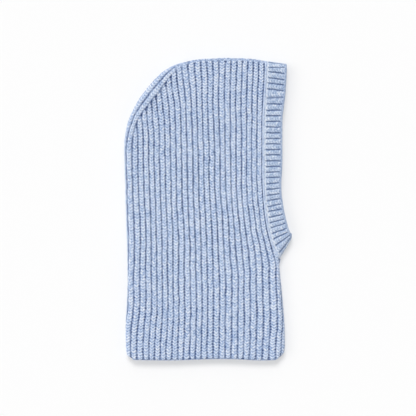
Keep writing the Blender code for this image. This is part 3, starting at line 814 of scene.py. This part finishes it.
# ---------------------------------------------------------------------------
# linked seams, label
# ---------------------------------------------------------------------------
def chain(name, path, up, half_w, half_h, pitch, closed, seed=0, around=16, step=0.32, leg=1.0):
    """A line of linked loops: two legs that meet in a V along the top."""
    total = run_of(path)[-1]
    if closed:
        path = np.vstack([path, path[:1]])
        up = np.vstack([up, up[:1]])
        total = run_of(path)[-1]
    count = int(total / step)
    s = np.arange(count + (0 if closed else 1)) * (total / count)
    run = run_of(path)
    c = np.stack([np.interp(s, run, path[:, k]) for k in range(3)], -1)
    n = np.stack([np.interp(s, run, up[:, k]) for k in range(3)], -1)
    if closed:
        t = np.roll(c, -2, 0) - np.roll(c, 2, 0)
    else:
        t = np.gradient(c, axis=0)
    t /= np.linalg.norm(t, axis=1)[:, None]
    n -= t * (n * t).sum(1)[:, None]
    n /= np.linalg.norm(n, axis=1)[:, None]
    side = np.cross(t, n)
    a = np.arange(around) / around * 2 * math.pi
    pitch = total / max(1, round(total / pitch)) if closed else pitch
    A, S = np.meshgrid(a, s)
    w = np.abs(np.cos(A))
    q = S / pitch - 0.85 * w
    f = q - np.floor(q)
    crease = np.exp(-(np.minimum(f, 1 - f) / 0.15) ** 2)
    cleft = np.exp(-(w / 0.16) ** 2)
    rnd = picked(np.floor(q) + 3, (np.cos(A) > 0).astype(int), 400 + seed)
    r = 1 - leg * (0.20 * crease + 0.16 * cleft) + 0.05 * rnd
    if not closed:
        tip = np.minimum(S, total - S)
        r = r * np.sqrt(np.clip(1 - (1 - np.clip(tip / half_w, 0, 1)) ** 2, 0.02, 1))
    P = (c[:, None] + side[:, None] * (half_w * np.cos(A) * r)[..., None]
         + n[:, None] * (half_h * np.sin(A) * r)[..., None])
    index = np.arange(P.shape[0] * around).reshape(P.shape[0], around)
    rows = np.vstack([index, index[:1]]) if closed else index
    quads = grid_faces(np.hstack([rows, rows[:, :1]]))
    tris = []
    if not closed:
        for ring, flip in ((index[0], False), (index[-1], True)):
            for k in range(1, around - 1):
                tri = (ring[0], ring[k], ring[k + 1])
                tris.append(tri if not flip else tri[::-1])
    pts = P.reshape(-1, 3)
    # face outwards
    nv = vertex_normals(pts, quads)
    if (nv * (pts - np.repeat(c, around, 0))).sum() < 0:
        quads = quads[:, ::-1]
        tris = [t[::-1] for t in tris]
    yarn = np.stack([w * half_w * 1.5, S + w], -1).reshape(-1, 2) * 0.01
    # painted shade in the cleft between the two legs and in the creases between loops; tone is each loop's random
    # tone
    deep = np.clip(cleft * 0.35 + 0.1 * crease, 0, 1).ravel()
    return mesh_object(name, pts, (np.array(tris, int).reshape(-1, 3), quads),
                       {"Knit": yarn, "Yarn": yarn}, {"deep": deep, "tone_and_highlight": rnd.ravel(), "leg": q.ravel()})


def face_seam():
    """Round the face opening: up the upper layer and down the lower one."""
    line = along(SEAM_L, np.linspace(0, run_of(SEAM_L)[-1], 260))
    top, chin = distance(line, BANDFOLD_L)[0], np.minimum(distance(line, CHIN_L)[0], distance(line, NECK_L)[0])
    keep = (line[:, 1] < 189.0) & ~((line[:, 1] < -61.6) & (line[:, 0] > 92.2))
    line, top, chin = line[keep], top[keep], chin[keep]
    d = np.minimum(top, chin)
    h = PANEL_FOLD.h_of(d)
    c = 1 - np.clip(d / ROLL, 0, 1)
    out = np.where((top < chin)[:, None], np.array([[0.12, 0.99]]), np.array([[0.86, -0.5]]))
    up = np.concatenate([out * c[:, None], np.sqrt(1 - c * c)[:, None]], -1)
    outer = np.concatenate([line, h[:, None]], -1)
    centre = outer - up * 1.35
    lower, lower_up = centre[::-1].copy(), up[::-1].copy()
    lower[:, 2] *= -1
    lower_up[:, 2] *= -1
    ring = np.vstack([centre, lower])
    ups = np.vstack([up, lower_up])
    gap = np.linalg.norm(np.diff(ring, axis=0), axis=1)
    ok = np.concatenate([[True], gap > 0.25])
    ring, ups = ring[ok], ups[ok]
    ring[:, 2] += MID
    return ring, ups


def inner_line(line, by, first, last):
    deep = offset(line, by)
    total = run_of(deep)[-1]
    p = along(deep, np.linspace(first, total - last, int(total / 2)))
    p = np.concatenate([p, np.full((len(p), 1), MID)], -1)
    return p, np.tile([0.0, 0.0, 1.0], (len(p), 1))


def care_label():
    """A blank folded tab of satin tape lying on the inside of the back."""
    lo, hi = (np.array(v) * 1000 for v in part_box("care_label"))
    nx, ny = 40, 52
    x, y = np.meshgrid(np.linspace(lo[0] + 0.1, hi[0] - 0.1, nx), np.linspace(lo[1] + 0.1, hi[1] - 0.1, ny))
    u = (x - lo[0]) / (hi[0] - lo[0])
    curl = 0.55 * u ** 2 * (0.6 + 0.4 * np.cos((y - lo[1]) / 9.0))
    weave = 0.03 * np.sin(x * 2 * np.pi / 0.9)
    top = np.stack([x, y, lo[2] + 0.45 + curl + weave], -1)
    low = np.stack([x, y, lo[2] + 0.12 + curl], -1)
    index = np.arange(nx * ny).reshape(ny, nx)
    pts = np.vstack([top.reshape(-1, 3), low.reshape(-1, 3)])
    quads = [grid_faces(index)[:, ::-1], grid_faces(index + nx * ny)]
    loop = np.concatenate([index[0, :-1], index[:-1, -1], index[-1, :0:-1], index[:0:-1, 0]])
    nxt = np.roll(loop, -1)
    quads.append(np.stack([loop, nxt, nxt + nx * ny, loop + nx * ny], -1)[:, ::-1])
    quads = np.vstack(quads)
    n = vertex_normals(pts, quads[:(nx - 1) * (ny - 1)])
    if n[index[ny // 2, nx // 2], 2] < 0:
        quads = quads[:, ::-1]
    uv = pts[:, :2] * 0.01
    return mesh_object("care_label_tape", pts, (np.zeros((0, 3), int), quads),
                       {"Knit": uv, "Yarn": uv}, {"deep": pts[:, 0] * 0, "tone_and_highlight": pts[:, 0] * 0})


def label_thread():
    lo, hi = (np.array(v) * 1000 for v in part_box("label_stitching"))
    n = 17
    y = np.linspace(lo[1] + 0.4, hi[1] - 0.4, n)
    x = np.where(np.arange(n) % 2, hi[0] - 0.45, lo[0] + 0.45)
    z = np.full(n, lo[2] + 0.42)
    p = np.stack([x, y, z], -1)
    fine = np.vstack([spline(np.stack([p[:, 0], p[:, 1]], -1), 8).T, np.zeros(8 * (n - 1) + 1)]).T
    fine[:, 2] = lo[2] + 0.42
    return fine, np.tile([0.0, 0.0, 1.0], (len(fine), 1))


# ---------------------------------------------------------------------------
# materials
# ---------------------------------------------------------------------------
def srgb(r, g, b):
    lin = lambda c: ((c / 255 + 0.055) / 1.055) ** 2.4 if c / 255 > 0.04045 else c / 255 / 12.92
    return lin(r), lin(g), lin(b), 1.0


class Nodes:
    """Short hand for building a node tree."""

    def __init__(self, name):
        self.mat = bpy.data.materials.new(name)
        self.mat.use_nodes = True
        self.tree = self.mat.node_tree
        self.shader = self.tree.nodes["Principled BSDF"]

    def add(self, kind, **values):
        n = self.tree.nodes.new(kind)
        for key, value in values.items():
            setattr(n, key, value)
        return n

    def link(self, a, b):
        self.tree.links.new(a, b)

    def math(self, op, a, b=None, clamp=False):
        n = self.add("ShaderNodeMath", operation=op, use_clamp=clamp)
        for slot, value in zip(n.inputs, (a, b)):
            if value is None:
                continue
            if isinstance(value, (int, float)):
                slot.default_value = value
            else:
                self.link(value, slot)
        return n.outputs[0]

    def noise(self, vector, scale, detail=3.0, rough=0.55, stretch=None):
        if stretch is not None:
            m = self.add("ShaderNodeMapping")
            m.inputs["Scale"].default_value = stretch
            self.link(vector, m.inputs["Vector"])
            vector = m.outputs[0]
        n = self.add("ShaderNodeTexNoise")
        n.inputs["Scale"].default_value = scale
        n.inputs["Detail"].default_value = detail
        n.inputs["Roughness"].default_value = rough
        self.link(vector, n.inputs["Vector"])
        return n.outputs["Fac"]

    def ramp(self, value, stops, interpolation="LINEAR"):
        n = self.add("ShaderNodeValToRGB")
        n.color_ramp.interpolation = interpolation
        el = n.color_ramp.elements
        while len(el) < len(stops):
            el.new(0.5)
        for e, (at, colour) in zip(el, stops):
            e.position = at
            e.color = colour
        self.link(value, n.inputs[0])
        return n.outputs[0]

    def mix(self, fac, a, b, blend="MIX"):
        n = self.add("ShaderNodeMix", data_type="RGBA", blend_type=blend)
        for slot, value in ((n.inputs[0], fac), (n.inputs[6], a), (n.inputs[7], b)):
            if isinstance(value, (int, float, tuple)):
                slot.default_value = value
            else:
                self.link(value, slot)
        return n.outputs[2]

    def grey(self, value):
        return (value, value, value, 1.0)


# groove is the painted shade colour; crease sets the strength of the painted shade along the creases between legs
def wool(name, light, mid, dark, groove, bump=0.4, crease=0.38):
    """Melange yarn: pale, mid and deeper fibres spun together, mixed toward a painted shade colour in grooves, holes
    and creases.
    """
    n = Nodes(name)
    obj = n.add("ShaderNodeTexCoord").outputs["Object"]
    yarn = n.add("ShaderNodeUVMap", uv_map="Yarn").outputs[0]
    deep = n.add("ShaderNodeAttribute", attribute_name="deep").outputs["Fac"]
    tone_and_highlight = n.add("ShaderNodeAttribute", attribute_name="tone_and_highlight").outputs["Fac"]
    leg = n.add("ShaderNodeAttribute", attribute_name="leg").outputs["Fac"]
    # fibres lie along each stitch's leg
    fibre = n.noise(yarn, 100.0, 4.0, 0.62, (2.6, 0.42, 1.0))
    fibre2 = n.noise(yarn, 100.0, 2.0, 0.5, (5.5, 0.8, 1.0))
    fleck = n.noise(obj, 520.0, 3.0, 0.6)
    cloud = n.noise(obj, 110.0, 2.0, 0.5)
    f = n.math("ADD", n.math("MULTIPLY", fibre, 0.42), n.math("MULTIPLY", fleck, 0.58))
    f = n.math("ADD", f, n.math("MULTIPLY", n.math("SUBTRACT", cloud, 0.5), 0.08))
    # each stitch's random tone, with its painted highlight along the leg, lightens the fibre mix
    f = n.math("ADD", f, n.math("MULTIPLY", tone_and_highlight, 0.07))
    bright = tuple(1 - 0.45 * (1 - c) for c in light[:3]) + (1.0,)
    colour = n.ramp(f, [(0.37, dark), (0.47, mid), (0.56, light), (0.68, bright)])
    # painted shade, and a dip in the bump, where one leg lies on the next
    part = n.math("FRACT", leg)
    near = n.math("MINIMUM", part, n.math("SUBTRACT", 1.0, part))
    line = n.math("SUBTRACT", 1.0, n.math("DIVIDE", near, 0.24), clamp=True)
    line = n.math("POWER", line, 1.4)
    open_ = n.math("SUBTRACT", 1.0, deep, clamp=True)
    shade = n.math("MULTIPLY", n.math("MULTIPLY", line, open_), crease)
    # add the painted shade of grooves, holes and clefts, then mix toward the painted shade colour
    shade = n.math("ADD", shade, n.math("MULTIPLY", n.math("POWER", deep, 1.1), 0.97), clamp=True)
    colour = n.mix(shade, colour, groove)
    n.link(colour, n.shader.inputs["Base Color"])
    rough = n.math("ADD", n.math("MULTIPLY", fibre2, 0.16), 0.78)
    n.link(rough, n.shader.inputs["Roughness"])
    height = n.math("ADD", n.math("MULTIPLY", fibre2, 0.5), n.math("MULTIPLY", fleck, 0.35))
    height = n.math("SUBTRACT", height, n.math("MULTIPLY", n.math("MULTIPLY", line, open_), 0.6))
    b = n.add("ShaderNodeBump")
    b.inputs["Strength"].default_value = bump
    b.inputs["Distance"].default_value = 0.0006
    n.link(height, b.inputs["Height"])
    n.link(b.outputs[0], n.shader.inputs["Normal"])
    n.shader.inputs["Sheen Weight"].default_value = 0.3
    n.shader.inputs["Sheen Roughness"].default_value = 0.5
    n.shader.inputs["Sheen Tint"].default_value = (0.84, 0.90, 1.0, 1.0)
    n.shader.inputs["Specular IOR Level"].default_value = 0.2
    return n.mat


# ---------------------------------------------------------------------------
# build
# ---------------------------------------------------------------------------
FINE = ((12, 0.73, 22, 14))

LIGHT, MIDTONE, DARK = srgb(209, 223, 245), srgb(178, 198, 229), srgb(134, 158, 200)
# painted shade colour for the rib knit's grooves, holes and creases; the fourth colour given to each wool below is
# the same kind of painted shade
GROOVE_SHADE = srgb(48, 75, 126)
KNIT = wool("melange_rib_knit", LIGHT, MIDTONE, DARK, GROOVE_SHADE)
BANDKNIT = wool("melange_band_knit", srgb(199, 213, 234), srgb(169, 188, 217), srgb(132, 154, 193), srgb(66, 90, 134), 0.3, 0.3)
LINKING = wool("melange_linking_yarn", srgb(220, 233, 251), srgb(200, 216, 242), srgb(160, 181, 217), srgb(84, 108, 152), 0.3, 0.35)


def tape_material():
    n = Nodes("blank_satin_tape")
    obj = n.add("ShaderNodeTexCoord").outputs["Object"]
    warp = n.noise(obj, 1000.0, 2.0, 0.5, (1.0, 0.12, 1.0))
    weft = n.noise(obj, 1000.0, 2.0, 0.5, (0.12, 1.0, 1.0))
    f = n.math("MULTIPLY", n.math("ADD", warp, weft), 0.5)
    n.link(n.ramp(f, [(0.3, srgb(214, 215, 219)), (0.7, srgb(240, 240, 242))]), n.shader.inputs["Base Color"])
    n.link(n.math("ADD", n.math("MULTIPLY", f, 0.3), 0.35), n.shader.inputs["Roughness"])
    b = n.add("ShaderNodeBump")
    b.inputs["Strength"].default_value = 0.3
    b.inputs["Distance"].default_value = 0.0002
    n.link(f, b.inputs["Height"])
    n.link(b.outputs[0], n.shader.inputs["Normal"])
    n.shader.inputs["Sheen Weight"].default_value = 0.2
    return n.mat


TAPE = tape_material()
panel = panel_shell(100, FINE)
band_part = band_shell(((12, 0.7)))
right = shell_object("right_panel_knit", panel)
left = shell_object("left_panel_knit", panel, mirrored=True)
band = shell_object("face_band_knit", band_part)
ring, ring_up = face_seam()
seam = chain("face_band_linking", ring, ring_up, 1.4, 1.5, 3.2, True, 1, step=0.3)
pieces = [(right, "right_side_panel", "rib_knit", KNIT), (left, "left_side_panel", "rib_knit", KNIT),
          (band, "face_band", "band_knit", BANDKNIT), (seam, "face_band_seam", "linking_yarn", LINKING)]
for name, node, line, by, first, last in (
        ("centre_back_linking", "centre_back_seam", BACK_L[BACK_L[:, 1] <= 144.2], 5.3, 12.0, 0.8),
        ("crown_linking", "crown_seam", BACK_L[(BACK_L[:, 1] >= 144.0) & (BACK_L[:, 0] > -86) & (BACK_L[:, 0] < 72.8)], 5.3, 0.8, 6.5),
        ("front_neck_linking", "front_neck_seam", NECK_L, 5.3, 7.5, 10.0)):
    p, up = inner_line(line, by, first, last)
    pieces.append((chain(name, p, up, 1.15, 1.15, 3.0, False, 2, step=0.5, around=12), node, "linking_yarn", LINKING))
lo, hi = (np.array(v) * 1000 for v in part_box("band_end_seam"))
t = np.linspace(0.02, 0.98, 20)[:, None]
p = np.hstack([np.array([[hi[0] - 0.7, hi[1] - 0.7]]) * (1 - t) + np.array([[lo[0] + 0.7, lo[1] + 0.7]]) * t, np.full((20, 1), MID)])
pieces.append((chain("band_end_linking", p, np.tile([0.0, 0.0, 1.0], (20, 1)), 0.78, 0.78, 2.4, False, 3, step=0.3, around=12),
               "band_end_seam", "linking_yarn", LINKING))
pieces.append((care_label(), "care_label", "label_tape", TAPE))
p, up = label_thread()
pieces.append((chain("label_thread", p, up, 0.36, 0.36, 1.0, False, 4, step=0.15, around=8, leg=0.4), "label_stitching", "label_tape", TAPE))
for piece, node, slot, mat in pieces:
    piece.data.materials.append(mat)
    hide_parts(node)
    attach(piece, "root")


# ---------------------------------------------------------------------------
# studio
# ---------------------------------------------------------------------------
scene = bpy.context.scene
floor_mesh = bpy.data.meshes.new("floor")
floor_mesh.from_pydata([(-4, -4, -0.0004), (4, -4, -0.0004), (4, 4, -0.0004), (-4, 4, -0.0004)], [], [(0, 1, 2, 3)])
floor = bpy.data.objects.new("floor", floor_mesh)
scene.collection.objects.link(floor)
fm = Nodes("pale_floor")
fm.shader.inputs["Base Color"].default_value = (0.66, 0.66, 0.66, 1)
fm.shader.inputs["Emission Color"].default_value = (1.0, 1.0, 1.0, 1)
fm.shader.inputs["Emission Strength"].default_value = 0.29
fm.shader.inputs["Roughness"].default_value = 0.9
floor_mesh.materials.append(fm.mat)

world = bpy.data.worlds.new("studio")
scene.world = world
world.use_nodes = True
world.node_tree.nodes["Background"].inputs[0].default_value = (1.0, 1.0, 1.0, 1.0)
world.node_tree.nodes["Background"].inputs[1].default_value = 0.46


def sun(name, toward, angle, strength, shadow=True):
    """A soft directional light that travels this way."""
    data = bpy.data.lights.new(name, "SUN")
    data.use_shadow = shadow
    data.angle = math.radians(angle)
    data.energy = strength
    obj = bpy.data.objects.new(name, data)
    obj.rotation_euler = Vector(toward).to_track_quat("-Z", "Y").to_euler()
    scene.collection.objects.link(obj)


sun("key", (0.10, -0.76, -1.0), 25, 1.52)
sun("side", (1.0, -0.1, -1.0), 40, 0.40)
sun("side_fill", (1.0, -0.1, -0.85), 40, 0.55, shadow=False)

camera = bpy.data.cameras.new("camera")
camera.sensor_width = 36.0
camera.lens = 36.0 * 1.6 / 0.5304
cam = bpy.data.objects.new("camera", camera)
cam.location = (0.0, 0.0010, 1.6 + 0.007)
scene.collection.objects.link(cam)
scene.camera = cam
scene.view_settings.view_transform = "Standard"
